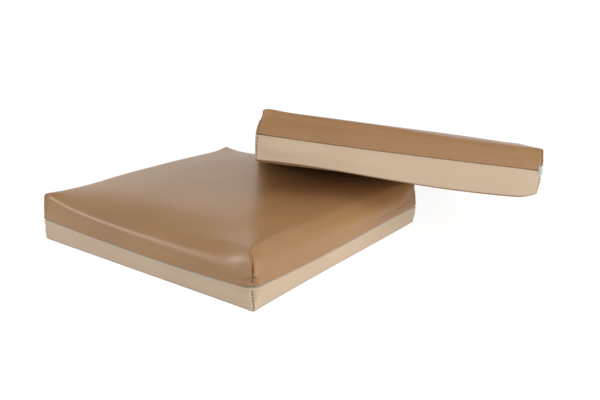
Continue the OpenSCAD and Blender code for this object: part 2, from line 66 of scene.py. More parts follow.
# How each cushion is stuffed, in mm. Values by side run back, left, front, right: each is the control
# points of a smooth curve from the side's first corner to its last. Values by corner run back right,
# back left, front left, front right.
# waist, edge: height of the waist seam and of the top edge
# waist_in, edge_in, foot_in: how far the waist, the top edge and the foot lie inside the square
# sag: how far the foot hangs
# fold: radius of the top edge
# waist_r: corner radius at the waist
# ear, ear_reach, ear_in: rise of a corner's ear, the length over which it fades, and its inset
# ear_fold, ear_r: radius of an ear's top edge and its corner radius
# seam_end: how far over the top edge a corner's seam stays open, in degrees
# foot_out: how far a corner's foot stands out
# belly: how far a wall bulges
# crown, swell: how far the top panel and the bottom panel stand out
# tape_set: how deep the tape lies in the waist seam
# lip: width of the lip beside the waist, as a share of LIP
LOOKS = {
    "lower": {
        "waist": ((31, 25, 20, 26.5), (26.5, 20, 24, 29), (29, 29, 30, 32), (32, 32, 32, 31)),
        "waist_in": ((-1.2, 1.5, 1.5, 1.5), (1.5, 1.5, 1.5, 4, -3), (-3, 4, 3, 3, 1), (1, 0, 0, -1.2)),
        "edge": ((65, 53, 56, 70), (70, 64, 63, 65), (65, 84, 66, 65), (65, 72, 74, 65)),
        "edge_in": ((0, 3, 3, 1), (1, 3, 3, 1), (1, 3, 3, 1), (1, 3, 3, 0)),
        "foot_in": ((1, 0, 0, -1), (-1, 3.5, 0, 2), (2, 2, 2, 2), (2, 2, 2, 1)),
        "sag": ((0, 0), (0, 0), (0, 0), (0, 0)),
        "fold": ((5, 8, 18, 34), (34, 24, 26, 28), (16, 14, 14, 14), (14, 14, 10, 5)),
        "waist_r": (4, 18, 4, 6),
        "ear": (5.5, 0, 3, 4),
        "ear_reach": (90, 45, 55, 45),
        "ear_in": (2.5, 1, 2, 2),
        "ear_fold": (3.5, 19, 4, 3.5),
        "ear_r": (3.5, 6, 3.5, 3.5),
        "seam_end": (90, 66, 60, 90),
        "foot_out": (0, 1, 0, 0),
        "belly": ((0.6, 0.6), (0.6, 0.6), (0.6, 0.6), (0.6, 0.6)),
        "crown": 10.0,
        "swell": 0.0,
        "tape_set": 0.7,
        "lip": 1.0,
    },
    "upper": {
        "waist": ((32, 29, 29, 32), (32, 30, 32, 36), (36, 32, 33, 33), (32, 32, 32, 32)),
        "waist_in": ((0, 3, 3, 7), (7, 7, 3, -4), (-4, 2, 2, -3.5), (-3.5, 0, 0, 0)),
        "edge": ((65, 65, 65, 65), (65, 65, 66, 68.5), (68.5, 75, 65, 65, 63), (63, 80, 66, 68, 65)),
        "edge_in": ((0, 3, 3, 8), (8, 8, 5, 3), (3, 2, 2, 0), (0, 3, 3, 0)),
        "foot_in": ((2, 2, 2, 7), (7, 6, 3, 0), (0, 0, 0, 1), (1, 2, 2, 2)),
        "sag": ((0, 5, 5, 0), (0, 4, 2, 0), (0, -3, 9.5, 12, 6), (4, 6, 5, 0)),
        "fold": ((12, 12, 12, 12), (12, 12, 10, 5), (5, 7, 9, 12), (9, 9, 12, 12)),
        "waist_r": (9, 9, 4, 5.5),
        "ear": (4, 3, 3.5, 1.5),
        "ear_reach": (60, 60, 50, 24),
        "ear_in": (0, 10, 4, 0),
        "ear_fold": (3.5, 3.5, 3.5, 3.5),
        "ear_r": (3.5, 3.5, 3.5, 3.5),
        "seam_end": (90, 90, 90, 90),
        "foot_out": (0, 0, 0, 0),
        "belly": ((1, 1), (1, 0), (2, 1, 1, 1.5), (1, 1)),
        "crown": 4.0,
        "swell": 2.5,
        "tape_set": 3.0,
        "lip": 0.6,
    },
}
FRONT_SIDE = 2
RIGHT_SIDE = 3
BACK_RIGHT = 0
FRONT_RIGHT = 3
SAG_REACH = 28 * MM
FOOT_REACH = 18 * MM

# The mesh of a cover: steps in half a corner's arc, along a side, and round the ring
ARC = 5
RUN = 54
PER_SIDE = RUN + 2 * ARC
RING = 4 * PER_SIDE

# The share of the steps along a side and in an arc that is even: the rest crowds up to the corner seams
RUN_EVEN = 0.55
ARC_EVEN = 0.3


def smooth(t):
    """A soft step from 0 to 1."""
    t = np.clip(t, 0, 1)
    return t * t * (3 - 2 * t)


def mix(a, b, k):
    return a + (b - a) * k


def ring_steps():
    """For each point of a ring: its side, its angle there and its share of the straight run."""
    j = np.arange(PER_SIDE)
    t = np.clip((j - ARC) / RUN, 0, 1)
    run = RUN_EVEN * t + (1 - RUN_EVEN) * (1 - np.cos(np.pi * t)) / 2
    arcs = np.clip(j / ARC, 0, 1), np.clip((PER_SIDE - j) / ARC, 0, 1)
    first, last = (ARC_EVEN * s + (1 - ARC_EVEN) * s ** 2 for s in arcs)
    angle = 90 + 45 * (first - last)
    side = np.repeat(np.arange(4), PER_SIDE)
    return side, np.radians(np.tile(angle, 4)), np.tile(run, 4)


STEP_SIDE, STEP_ANGLE, STEP_RUN = ring_steps()


def ring_places():
    """For each point of a ring: its nearest corner, how far off that is, and its share of its side."""
    straight = 2 * (HALF - CORNER_R)
    along = CORNER_R * (STEP_ANGLE - math.pi / 4) + STEP_RUN * straight
    whole = straight + CORNER_R * math.pi / 2
    first = along < whole / 2
    corner = np.where(first, STEP_SIDE, (STEP_SIDE + 1) % 4)
    return corner, np.where(first, along, whole - along), along / whole


CORNER, CORNER_DIST, SHARE = ring_places()

# Where the four corner seams run on a ring: the one by the zip's front end lies some steps off, on the front
ZIP_SEAM_STEPS = 3
SEAMS = (0, PER_SIDE, 2 * PER_SIDE, 3 * PER_SIDE - ZIP_SEAM_STEPS)

# A corner seam: the width and depth of its groove, and the rim beside it
GROOVE_HALF = 0.7 * MM
SEAM_DEPTH = 1.6 * MM
EAR_DEPTH = 4.0 * MM
RIM = 0.9 * MM
RIM_AT = 2.2 * MM
RIM_HALF = 1.0 * MM


def seam_distance():
    """How far each point of a ring lies from the nearest corner seam."""
    shift = CORNER_DIST[SEAMS[FRONT_RIGHT]]
    by_zip = np.where(STEP_SIDE == FRONT_SIDE, np.abs(CORNER_DIST - shift), CORNER_DIST + shift)
    return np.where(CORNER == FRONT_RIGHT, by_zip, CORNER_DIST)


SEAM_DIST = seam_distance()
GROOVE_SHAPE = np.exp(-(SEAM_DIST / GROOVE_HALF) ** 2)
RIM_SHAPE = np.exp(-((SEAM_DIST - RIM_AT) / RIM_HALF) ** 2)


def zip_opening():
    """How far the zip parts the covers at each point of a ring: 1 along the right side, 0 elsewhere."""
    back = smooth((CORNER_DIST - ZIP_BACK_GAP) / ZIP_FADE)
    right = np.where(CORNER == BACK_RIGHT, back, 1.0)
    front = (STEP_SIDE == FRONT_SIDE) & (CORNER == FRONT_RIGHT)
    lead = smooth((np.arange(RING) - SEAMS[FRONT_RIGHT]) / ZIP_LEAD_STEPS + 0.5)
    return np.where(STEP_SIDE == RIGHT_SIDE, right, np.where(front, lead, 0.0))


def zip_recess(opening):
    """How far the zip draws the covers in at each point of a ring."""
    front = smooth((CORNER_DIST - ZIP_FRONT_GAP) / ZIP_FADE)
    return ZIP_RECESS * np.where(CORNER == FRONT_RIGHT, front, 1.0) * opening


OPENING = zip_opening()
RECESS = zip_recess(OPENING)


def by_side(curves):
    """Values round a ring from one curve for each side, in mm."""
    values = np.zeros(RING)
    for side, points in enumerate(curves):
        n = len(points) - 1
        s = SHARE[STEP_SIDE == side]
        values[STEP_SIDE == side] = sum(
            math.comb(n, i) * (1 - s) ** (n - i) * s ** i * p for i, p in enumerate(points))
    return values * MM


def by_corner(values):
    """Values round a ring from one for each corner, in mm."""
    return np.array(values, float)[CORNER] * MM


def fade(reach):
    """1 at a corner, falling to 0 within its reach."""
    return np.clip(1 - CORNER_DIST / reach, 0, 1) ** 2


def ring(inset, z, radius):
    """One ring of a cover from the inset, height and corner radius at each of its points."""
    x = (HALF - radius) * (1 - 2 * STEP_RUN) + (radius - inset) * np.cos(STEP_ANGLE)
    y = (HALF - radius) + (radius - inset) * np.sin(STEP_ANGLE)
    turn = STEP_SIDE * math.pi / 2
    return np.stack([x * np.cos(turn) - y * np.sin(turn), x * np.sin(turn) + y * np.cos(turn), z + 0 * x], 1)


# The lip that each cover turns beside the waist, from inside the seam outwards: inset and distance off, in mm
LIP = ((4.5, 2.5), (3.2, 0.6), (1.3, 0.35), (0.4, 0.75), (0.0, 1.7), (0.25, 3.0), (0.6, 4.6))
LIP_GROOVED = 3.0
LIP_UNDER_ZIP = 0.65
LIP_REACH = 28 * MM
LIP_WIDER = 0.8

# A wall: its steps, and how fast the zip closes, the rim rises and the corner takes its new radius along it
WALL_STEPS = 8
ZIP_CLOSES = 1.4
RIM_RISES = 2.0
CORNER_TURNS = 1.5
BELLY_REACH = 22 * MM

# The share of a wall over which its seam opens out into an ear, and the folds at the top edge and the foot
EAR_FROM = 0.65
EAR_TO = 0.9
FOLD_STEPS = 8
FOLD_END = math.radians(75)
FOOT_STEPS = 4


def waist_line(look):
    """The height, inset and corner radius of the waist seam round a ring."""
    return by_side(look["waist"]), by_side(look["waist_in"]), by_corner(look["waist_r"])


def lip_width(look):
    """How wide the lip rolls at each point of a ring: widest at the corners, except at the zip."""
    return look["lip"] * (1 + LIP_WIDER * fade(LIP_REACH) * (1 - OPENING))


def lip_rows(look, way):
    """The rings of a cover's lip at the waist, way up or down."""
    waist, waist_in, radius = waist_line(look)
    width = lip_width(look)
    rows = []
    for lip_in, off in LIP:
        inset = waist_in + RECESS + lip_in * MM * width * (1 - LIP_UNDER_ZIP * OPENING)
        z = waist + way * (off * MM * width + OPENING * ZIP_HALF)
        rows.append(ring(inset + SEAM_DEPTH * smooth(off / LIP_GROOVED) * GROOVE_SHAPE, z, radius))
    return rows


def wall_rows(look, way, end_in, end_z, end_radius, end_depth):
    """The rings of a cover's wall from its lip to the start of its fold."""
    waist, waist_in, radius = waist_line(look)
    width = lip_width(look)
    lip_in, off = LIP[-1]
    belly = by_side(look["belly"]) * (1 - fade(BELLY_REACH))
    rows = []
    for t in np.linspace(0, 1, WALL_STEPS + 1)[1:]:
        gape = 1 - smooth(ZIP_CLOSES * t)
        depth = mix(SEAM_DEPTH, end_depth, smooth((t - EAR_FROM) / (EAR_TO - EAR_FROM)))
        start_in = waist_in + lip_in * MM * width + RECESS * gape
        inset = mix(start_in, end_in, smooth(t)) - belly * math.sin(math.pi * t) ** 2
        inset += depth * GROOVE_SHAPE - RIM * smooth(RIM_RISES * t) * RIM_SHAPE
        z = mix(waist + way * off * MM * width, end_z, t)
        z += way * ZIP_HALF * OPENING * gape * (1 - t)
        rows.append(ring(inset, z, mix(radius, end_radius, smooth(CORNER_TURNS * t))))
    return rows


def top_rows(look):
    """The rings of a top cover from the waist to the end of its top fold."""
    near = fade(by_corner(look["ear_reach"]))
    radius = mix(by_side(look["fold"]), by_corner(look["ear_fold"]), near)
    edge_in = mix(by_side(look["edge_in"]), by_corner(look["ear_in"]), near)
    edge = by_side(look["edge"]) + by_corner(look["ear"]) * near
    ear_r = by_corner(look["ear_r"])
    closed_at = np.sin(np.radians(look["seam_end"]))[CORNER]
    rows = lip_rows(look, 1) + wall_rows(look, 1, edge_in, edge - radius, ear_r, EAR_DEPTH)
    for a in np.linspace(0, FOLD_END, FOLD_STEPS + 1)[1:]:
        back = radius * (1 - math.cos(a))
        left_open = np.sqrt(np.clip(1 - math.sin(a) / closed_at, 0, 1))
        seam = (EAR_DEPTH * GROOVE_SHAPE - RIM * RIM_SHAPE) * left_open
        rows.append(ring(edge_in + back + seam, edge - radius * (1 - math.sin(a)), ear_r + back))
    return rows


def bottom_rows(look):
    """The rings of a bottom cover from the waist to the end of its foot fold."""
    foot_in = by_side(look["foot_in"]) - by_corner(look["foot_out"]) * fade(FOOT_REACH)
    foot = -by_side(look["sag"]) * (1 - fade(SAG_REACH))
    rows = lip_rows(look, -1) + wall_rows(look, -1, foot_in, foot + FOOT_FOLD, FOOT_CORNER, SEAM_DEPTH)
    for a in np.linspace(0, math.pi / 2, FOOT_STEPS + 1)[1:]:
        back = FOOT_FOLD * (1 - math.cos(a))
        seam = SEAM_DEPTH * (1 - math.sin(a)) * GROOVE_SHAPE
        rows.append(ring(foot_in + back + seam, foot + FOOT_FOLD * (1 - math.sin(a)), FOOT_CORNER + back))
    return rows


# A panel: how far the ears lift it from its edge, and how near to its edge the crown or swell starts
EAR_SPREAD = 48 * MM
CROWN_POWER = 4
SWELL_POWER = 2


def panel_points(edge, z, rise, power):
    """The points of a panel that closes a ring, on a square grid, crowned by rise above height z.
    The higher the power, the nearer to its edge the crown starts."""
    n = PER_SIDE
    sides = [np.vstack([edge[c * n:(c + 1) * n], edge[((c + 1) * n) % RING]]) for c in range(4)]
    back, left, front, right = sides[0], sides[1], sides[2][::-1], sides[3][::-1]
    u = (back[0, 0] - back[:, 0]) / (back[0, 0] - back[-1, 0])
    v = (right[0, 1] - right[:, 1]) / (right[0, 1] - right[-1, 1])
    whole = (1 - u, u, 1 - v, v)
    near = [np.clip(1 - 2 * HALF * s / EAR_SPREAD, 0, 1) ** 2 for s in (u, 1 - u, v, 1 - v)]

    def fill(axis, first_u, last_u, first_v, last_v, base):
        b, w, f, e = (s[:, axis] - base for s in (back, left, front, right))
        p = np.outer(b, first_v) + np.outer(f, last_v) + np.outer(first_u, e) + np.outer(last_u, w)
        p -= np.outer(first_u, first_v) * b[0] + np.outer(last_u, first_v) * b[-1]
        p -= np.outer(first_u, last_v) * f[0] + np.outer(last_u, last_v) * f[-1]
        return p + base

    dome_u, dome_v = (1 - np.abs(2 * s - 1) ** power for s in (u, v))
    height = fill(2, *near, z) + rise * np.outer(dome_u, dome_v)
    return np.stack([fill(0, *whole, 0.0), fill(1, *whole, 0.0), height], 2)


# Meshes

def new_mesh(name, points, faces):
    mesh = bpy.data.meshes.new(name)
    mesh.from_pydata([tuple(p) for p in points], [], faces)
    mesh.update()
    return mesh


def add_object(name, data):
    obj = bpy.data.objects.new(name, data)
    bpy.context.scene.collection.objects.link(obj)
    return obj


def vertex_array(mesh):
    co = np.empty(len(mesh.vertices) * 3)
    mesh.vertices.foreach_get("co", co)
    return co.reshape(-1, 3)


def set_vertices(mesh, co):
    mesh.vertices.foreach_set("co", np.asarray(co, np.float32).ravel())
    mesh.update()


def band_faces(count, size, base=0):
    """Faces between a number of loops, each of so many points, from point base on."""
    faces = []
    for start in range(base, base + (count - 1) * size, size):
        for i in range(size):
            j = (i + 1) % size
            faces.append((start + i, start + j, start + size + j, start + size + i))
    return faces


def tube_faces(count, size, base=0):
    """The same, with the first and the last loop closed."""
    end = base + (count - 1) * size
    return band_faces(count, size, base) + [
        tuple(range(base + size - 1, base - 1, -1)), tuple(range(end, end + size))]


def strip_mesh(name, rails, order):
    """A closed solid along part of a ring, from the rings that its section's corners follow."""
    points = np.stack([rail[order] for rail in rails], 1)
    count, size = points.shape[:2]
    return new_mesh(name, points.reshape(-1, 3), tube_faces(count, size))


def cover_mesh(name, rows, panel, flip):
    """A mesh of rings closed by a panel. flip turns its faces over."""
    n = PER_SIDE
    points = np.vstack(rows + [panel[1:n, 1:n].reshape(-1, 3)])
    inner = len(rows) * RING
    last = inner - RING

    def at(i, j):
        if j == 0:
            return last + i
        if i == n:
            return last + n + j
        if j == n:
            return last + 3 * n - i
        if i == 0:
            return last + (4 * n - j) % RING
        return inner + (i - 1) * (n - 1) + j - 1

    faces = band_faces(len(rows), RING)
    faces += [(at(i, j), at(i + 1, j), at(i + 1, j + 1), at(i, j + 1)) for i in range(n) for j in range(n)]
    if flip:
        faces = [f[::-1] for f in faces]
    return new_mesh(name, points, faces)


def soften(obj):
    """Subdivides an object's mesh once."""
    sub = obj.modifiers.new("soften", "SUBSURF")
    sub.levels = sub.render_levels = 1
    graph = bpy.context.evaluated_depsgraph_get()
    mesh = bpy.data.meshes.new_from_object(obj.evaluated_get(graph))
    obj.modifiers.clear()
    old = obj.data
    obj.data = mesh
    bpy.data.meshes.remove(old)


def relax(mesh, picked, rounds):
    """Moves each picked point to the mean of its neighbours, a number of times."""
    ends = np.empty(len(mesh.edges) * 2, int)
    mesh.edges.foreach_get("vertices", ends)
    a, b = ends[0::2], ends[1::2]
    co = vertex_array(mesh)
    count = np.bincount(np.r_[a, b], minlength=len(co))[:, None]
    for _ in range(rounds):
        total = np.zeros_like(co)
        np.add.at(total, a, co[b])
        np.add.at(total, b, co[a])
        co[picked] = (total / count)[picked]
    set_vertices(mesh, co)


# The join of a top cover's fold and panel: what is relaxed there, how often, and how clear of the corners
JOIN_ROWS = 4
JOIN_REACH = 60 * MM
JOIN_CLEAR = 12 * MM
JOIN_ROUNDS = 8


def join_points(rings, points):
    """The points about the join of a cover's fold and panel, for a cover with so many rings."""
    inner = rings * RING
    picked = np.zeros(len(points), bool)
    picked[inner - JOIN_ROWS * RING:inner] = np.tile(CORNER_DIST > JOIN_CLEAR, JOIN_ROWS)
    reach = HALF - np.abs(points[inner:, :2])
    picked[inner:] = (reach.min(1) < JOIN_REACH) & (reach.max(1) > 2 * JOIN_CLEAR)
    return picked


# The cloth simulation that fills a cover
CLOTH = {
    "quality": 6,
    "mass": 0.3,
    "tension_stiffness": 40,
    "compression_stiffness": 40,
    "shear_stiffness": 20,
    "bending_stiffness": 8,
}
FILL_FRAMES = 16
FILL_PRESSURE = {"top": 3.0, "bottom": 0.6}
FILL_CAP = 5 * MM


def pinned_points(rings):
    """The points of a cover that its seams hold: its lip and its corner seams."""
    lip = np.arange(len(LIP) * RING)
    columns = [r * RING + (c + d) % RING for r in range(rings) for c in SEAMS for d in (-1, 0, 1)]
    return np.union1d(lip, columns)


def inflate(obj, pinned, pressure):
    """Fills a cover by cloth simulation: its pinned points stay, and the others move FILL_CAP at most."""
    group = obj.vertex_groups.new(name="pinned")
    group.add([int(i) for i in pinned], 1.0, "REPLACE")
    cloth = obj.modifiers.new("fill", "CLOTH")
    settings = cloth.settings
    for key, value in CLOTH.items():
        setattr(settings, key, value)
    settings.use_pressure = True
    settings.uniform_pressure_force = pressure
    settings.effector_weights.gravity = 0
    settings.vertex_group_mass = group.name
    cloth.collision_settings.use_collision = False
    cloth.point_cache.frame_start = 1
    cloth.point_cache.frame_end = FILL_FRAMES
    scene = bpy.context.scene
    for f in range(1, FILL_FRAMES + 1):
        scene.frame_set(f)
    graph = bpy.context.evaluated_depsgraph_get()
    before = vertex_array(obj.data)
    moved = vertex_array(obj.evaluated_get(graph).data) - before
    far = np.linalg.norm(moved, axis=1, keepdims=True)
    obj.modifiers.remove(cloth)
    obj.vertex_groups.remove(group)
    set_vertices(obj.data, before + moved * FILL_CAP / (FILL_CAP + far))
    scene.frame_set(1)


# Places

def cushion_frames():
    """Where each cushion's own frame lies, worked out from the joints of its zip."""
    joints = {j["name"]: j for j in frame["joints"]}
    place = {}
    # The lower cushion lies half turned about the origin, which gives the pull's pin in a cushion's own frame
    parked = Vector(joints["lower_pull_swing"]["pos_m"])
    pin = Vector((-parked.x, -parked.y, parked.z))
    for which in LOOKS:
        y = -Vector(joints[which + "_zip_run"]["axis"]).normalized()
        z = -Vector(joints[which + "_pull_swing"]["axis"]).normalized()
        turn = Matrix((y.cross(z), y, z)).transposed()
        origin = Vector(joints[which + "_pull_swing"]["pos_m"]) - turn @ pin
        place[which] = Matrix.Translation(origin) @ turn.to_4x4()
    return place


PLACE = cushion_frames()


def finish_piece(obj, which, material, slot, *nodes):
    """Sets a piece in its cushion's frame and lets it ride there for the CAD nodes that it replaces."""
    mesh = obj.data
    mesh.transform(PLACE[which])
    mesh.materials.clear()
    mesh.materials.append(material)
    mesh.polygons.foreach_set("use_smooth", [True] * len(mesh.polygons))
    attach(obj, which + "_cushion")
    if nodes:
        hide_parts(*nodes)
    return obj


def add_piece(mesh, which, material, slot, *nodes):
    return finish_piece(add_object(mesh.name, mesh), which, material, slot, *nodes)


# Materials

# The band that nearly all of a noise texture's values lie in
NOISE_BAND = (0.3, 0.7)

# A Mix node's sockets for colours
MIX_FACTOR, MIX_A, MIX_B = 0, 6, 7
MIX_RESULT = 2


def new_material(name):
    material = bpy.data.materials.new(name)
    material.use_nodes = True
    nodes = material.node_tree.nodes
    return material, nodes, material.node_tree.links, nodes["Principled BSDF"]


def linear(c):
    """A linear value from an sRGB one."""
    return ((c + 0.055) / 1.055) ** 2.4 if c > 0.04045 else c / 12.92


def srgb(*rgb):
    """A linear colour from an sRGB one in 0 to 255."""
    return (*(linear(c / 255) for c in rgb), 1.0)


def texture(nodes, links, kind, **inputs):
    """A procedural texture in the object's own coordinates."""
    node = nodes.new("ShaderNodeTex" + kind)
    for name, value in inputs.items():
        node.inputs[name].default_value = value
    coords = nodes.new("ShaderNodeTexCoord")
    links.new(coords.outputs["Object"], node.inputs["Vector"])
    return node


def map_range(nodes, links, value, source, target):
    """A value carried from one range to another."""
    node = nodes.new("ShaderNodeMapRange")
    for way, ends in (("From", source), ("To", target)):
        node.inputs[way + " Min"].default_value = ends[0]
        node.inputs[way + " Max"].default_value = ends[1]
    links.new(value, node.inputs["Value"])
    return node


def shades(nodes, links, dark, light, scale, detail=2.0):
    """A colour that wanders between two shades over the surface."""
    noise = texture(nodes, links, "Noise", Scale=scale, Detail=detail)
    ramp = nodes.new("ShaderNodeValToRGB")
    for element, place, colour in zip(ramp.color_ramp.elements, NOISE_BAND, (dark, light)):
        element.position = place
        element.color = colour
    links.new(noise.outputs["Fac"], ramp.inputs["Fac"])
    return ramp.outputs["Color"]


def bump(nodes, links, height, shader, strength, depth):
    node = nodes.new("ShaderNodeBump")
    node.inputs["Strength"].default_value = strength
    node.inputs["Distance"].default_value = depth
    links.new(height, node.inputs["Height"])
    links.new(node.outputs["Normal"], shader.inputs["Normal"])


def vinyl(name, dark, light, foot, roughness):
    """Smooth upholstery vinyl with a fine leather grain. foot is a darker brown painted where a cover turns
    under: painted shade along its bottom edge.
    """
    material, nodes, links, shader = new_material(name)
    painted_foot_shade = nodes.new("ShaderNodeAttribute")
    painted_foot_shade.attribute_name = "foot"
    colour = nodes.new("ShaderNodeMix")
    colour.data_type = "RGBA"
    links.new(painted_foot_shade.outputs["Fac"], colour.inputs[MIX_FACTOR])
    links.new(shades(nodes, links, dark, light, scale=9.0), colour.inputs[MIX_A])
    # Painted shade: the foot colour darkens the fold where the cover turns under
    colour.inputs[MIX_B].default_value = foot
    links.new(colour.outputs[MIX_RESULT], shader.inputs["Base Color"])
    grain = texture(nodes, links, "Voronoi", Scale=900.0)
    grain.feature = "SMOOTH_F1"
    fine = texture(nodes, links, "Noise", Scale=420.0, Detail=4.0)
    both = nodes.new("ShaderNodeMath")
    both.operation = "ADD"
    links.new(grain.outputs["Distance"], both.inputs[0])
    links.new(fine.outputs["Fac"], both.inputs[1])
    bump(nodes, links, both.outputs["Value"], shader, strength=0.2, depth=0.15 * MM)
    gloss = map_range(nodes, links, fine.outputs["Fac"], NOISE_BAND, (roughness - 0.04, roughness + 0.06))
    links.new(gloss.outputs["Result"], shader.inputs["Roughness"])
    shader.inputs["Specular IOR Level"].default_value = 0.55
    return material


def woven(name, dark, light, pitch, depth):
    """Close woven tape with fine checks in it."""
    material, nodes, links, shader = new_material(name)
    links.new(shades(nodes, links, dark, light, scale=600.0, detail=4.0), shader.inputs["Base Color"])
    checks = texture(nodes, links, "Voronoi", Scale=1 / pitch, Randomness=0.25)
    bump(nodes, links, checks.outputs["Distance"], shader, strength=0.6, depth=depth)
    shader.inputs["Roughness"].default_value = 0.8
    shader.inputs["Sheen Weight"].default_value = 0.2
    return material


def twisted_thread(name, dark, light):
    """Bonded thread with a twist along it."""
    material, nodes, links, shader = new_material(name)
    links.new(shades(nodes, links, dark, light, scale=2500.0), shader.inputs["Base Color"])
    wave = texture(nodes, links, "Wave", Scale=1200.0)
    wave.bands_direction = "DIAGONAL"
    bump(nodes, links, wave.outputs["Fac"], shader, strength=0.5, depth=0.1 * MM)
    shader.inputs["Roughness"].default_value = 0.55
    return material


def nickel(name, dark, light):
    """Plated die-cast metal with fine handling marks."""
    material, nodes, links, shader = new_material(name)
    links.new(shades(nodes, links, dark, light, scale=350.0), shader.inputs["Base Color"])
    shader.inputs["Metallic"].default_value = 1.0
    marks = texture(nodes, links, "Noise", Scale=1500.0, Detail=6.0)
    gloss = map_range(nodes, links, marks.outputs["Fac"], (0.0, 1.0), (0.18, 0.42))
    links.new(gloss.outputs["Result"], shader.inputs["Roughness"])
    bump(nodes, links, marks.outputs["Fac"], shader, strength=0.15, depth=0.05 * MM)
    return material


def open_foam(name, dark, light):
    """Open-cell foam: pale, matt and pitted."""
    material, nodes, links, shader = new_material(name)
    links.new(shades(nodes, links, dark, light, scale=250.0, detail=5.0), shader.inputs["Base Color"])
    cells = texture(nodes, links, "Voronoi", Scale=900.0)
    bump(nodes, links, cells.outputs["Distance"], shader, strength=0.8, depth=0.4 * MM)
    shader.inputs["Roughness"].default_value = 0.95
    return material


# foot is painted shade: a darker brown along the bottom edge where each cover turns under
TAN = vinyl("tan_vinyl", srgb(157, 117, 76), srgb(166, 125, 82), foot=srgb(135, 92, 54), roughness=0.35)
BEIGE = vinyl("beige_vinyl", srgb(198, 174, 146), srgb(204, 181, 153), foot=srgb(140, 98, 58), roughness=0.40)
TAPE = woven("grey_tape", srgb(176, 176, 170), srgb(196, 196, 190), pitch=0.6 * MM, depth=0.15 * MM)
THREAD = twisted_thread("brown_thread", srgb(58, 36, 22), srgb(84, 56, 38))
NYLON = woven("grey_nylon", srgb(168, 168, 164), srgb(184, 184, 180), pitch=0.9 * MM, depth=0.05 * MM)
METAL = nickel("nickel_plate", srgb(176, 177, 178), srgb(198, 198, 196))
FOAM = open_foam("foam", srgb(226, 210, 158), srgb(240, 228, 184))


# Covers

def make_cover(which, part):
    """One cover, filled, with the lines of its corner seams."""
    look = LOOKS[which]
    top = part == "top"
    if top:
        rows = top_rows(look)
        panel = panel_points(rows[-1], EDGE, look["crown"] * MM, CROWN_POWER)
    else:
        rows = bottom_rows(look)
        panel = panel_points(rows[-1], 0.0, -look["swell"] * MM, SWELL_POWER)
    name = f"{which}_{part}_cover_vinyl"
    obj = add_object(name, cover_mesh(name, rows, panel, flip=not top))
    if top or look["swell"]:
        inflate(obj, pinned_points(len(rows)), FILL_PRESSURE[part])
    inner = len(rows) * RING
    if top:
        relax(obj.data, join_points(len(rows), vertex_array(obj.data)), JOIN_ROUNDS)
    else:
        # The foot fold's rows, where the vinyl paints a darker shade along the bottom edge
        foot = np.zeros(len(obj.data.vertices))
        foot[inner - FOOT_STEPS * RING:inner] = 1
        obj.data.attributes.new("foot", "FLOAT", "POINT").data.foreach_set("value", foot)
    points = vertex_array(obj.data)
    return obj, [points[column:inner:RING] for column in SEAMS]


# Stitches: the rings of a cover between which they run, their pitch and the thread
STITCH_FROM = len(LIP) - 3
STITCH_TO = STITCH_FROM + WALL_STEPS + 3
STITCH_PITCH = {"top": 5.0 * MM, "bottom": 4.1 * MM}
STITCH_SHARE = 0.65
STITCH_TIP = 0.08
STITCH_SIDES = 8
STITCH_RINGS = 6
THREAD_R = 0.6 * MM
THREAD_OUT = 0.4 * MM
THREAD_DIP = 0.5 * MM


def stitch_places(line, pitch):
    """Middles, directions and half lengths of the stitches along a seam line, an equal way apart."""
    steps = np.linalg.norm(np.diff(line, axis=0), axis=1)
    along = np.concatenate([[0], np.cumsum(steps)])
    count = int(along[-1] // pitch)
    start = (along[-1] - count * pitch) / 2
    half = pitch * STITCH_SHARE / 2

    def at(s):
        return np.array([np.interp(s, along, line[:, a]) for a in range(3)])

    for i in range(count):
        s = start + (i + 0.5) * pitch
        a, b = at(s - half), at(s + half)
        yield (a + b) / 2, (b - a) / np.linalg.norm(b - a), half


def stitch_points(middle, way, half, outward):
    """The loops of one stitch. It dips at both ends, where it goes through the vinyl."""
    across = np.cross(way, outward)
    across /= np.linalg.norm(across)
    up = np.cross(across, way)
    points = []
    for k in np.linspace(-1, 1, STITCH_RINGS):
        r = THREAD_R * math.sqrt(max(STITCH_TIP, 1 - k ** 4))
        centre = middle + way * k * half + up * (THREAD_OUT - THREAD_DIP * k * k)
        for s in range(STITCH_SIDES):
            a = 2 * math.pi * s / STITCH_SIDES
            points.append(centre + r * (math.cos(a) * across + math.sin(a) * up))
    return points


def thread_mesh(name, seams, pitch):
    """All stitches of a cover's corner seams."""
    points, faces = [], []
    for corner, line in enumerate(seams):
        a = math.radians(45 + 90 * corner)
        outward = np.array([math.cos(a), math.sin(a), 0])
        for middle, way, half in stitch_places(line[STITCH_FROM:STITCH_TO], pitch):
            faces += tube_faces(STITCH_RINGS, STITCH_SIDES, base=len(points))
            points += stitch_points(middle, way, half, outward)
    return new_mesh(name, points, faces)


# Seam tape: its section, how much deeper it lies at the corners, and the opening of the zip at which it ends
TAPE_TALL = 0.7 * MM
TAPE_DEEP = 2.5 * MM
TAPE_ROUND = 0.15 * MM
TAPE_CORNER_SET = 1.5 * MM
TAPE_END = 0.02


def seam_tape_mesh(name, look):
    """The tape's edge in the waist seam, from the zip's back end round three sides to its front end."""
    waist, waist_in, radius = waist_line(look)
    front = look["tape_set"] * MM
    back = front + TAPE_DEEP
    half = TAPE_TALL / 2
    section = ((front, -half), (front - TAPE_ROUND, 0), (front, half), (back, half), (back, -half))
    deeper = TAPE_CORNER_SET * fade(LIP_REACH)
    rails = [ring(waist_in + deeper + inset, waist + rise, radius) for inset, rise in section]
    shut = np.nonzero(OPENING < TAPE_END)[0]
    right = STEP_SIDE[shut] == RIGHT_SIDE
    return strip_mesh(name, rails, np.r_[shut[right], shut[~right]])


# The tab of tape that closes the zip's front end
TAB_THICK = 0.7 * MM
TAB_TENT = 1.2 * MM
TAB_TUCK = 2.0 * MM
TAB_EDGE = 1.6 * MM
TAB_END = 4.5 * MM
TAB_LEAD_STEPS = 2
TAB_STEPS = 13


